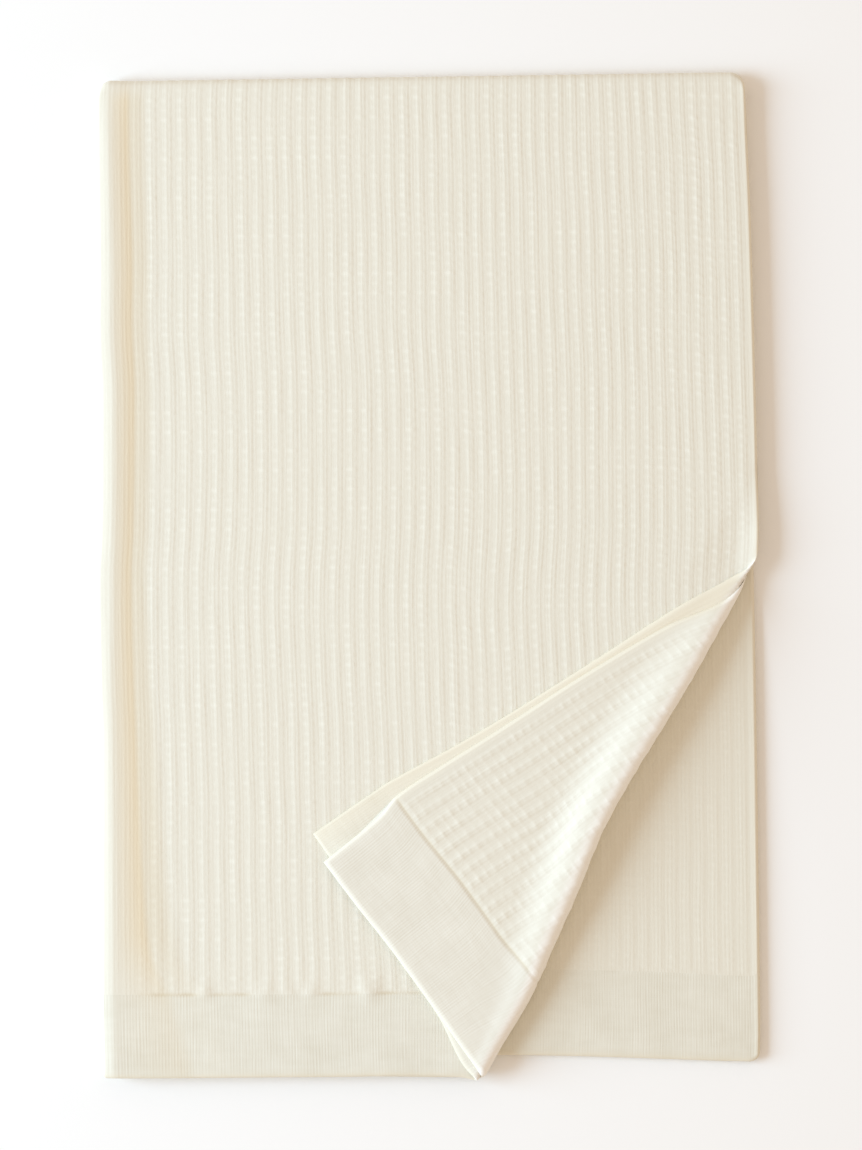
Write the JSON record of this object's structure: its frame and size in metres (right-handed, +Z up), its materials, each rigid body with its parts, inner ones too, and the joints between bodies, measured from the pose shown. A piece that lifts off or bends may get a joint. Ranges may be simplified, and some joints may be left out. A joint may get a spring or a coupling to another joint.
{
  "type": "folded knitted throw blanket",
  "caption": "Cream knitted throw with waffle ribs and plain hem bands, folded in quarters with one corner rolled back, for laying on a bed, sofa or shelf.",
  "frame": {"origin": "centre of the folded throw's outline, on the surface it lies on", "axes": "+Y from the hems to the cross fold, along the longest side; +X from the lengthwise fold to the open selvedges; +Z up"},
  "size_m": [0.6634, 1.0096, 0.0405],
  "materials": {
    "cashmere_knit": "soft matt cream wool knit"
  },
  "bodies": {
    "root": {"throw": "cashmere_knit"}
  },
  "joints": []
}
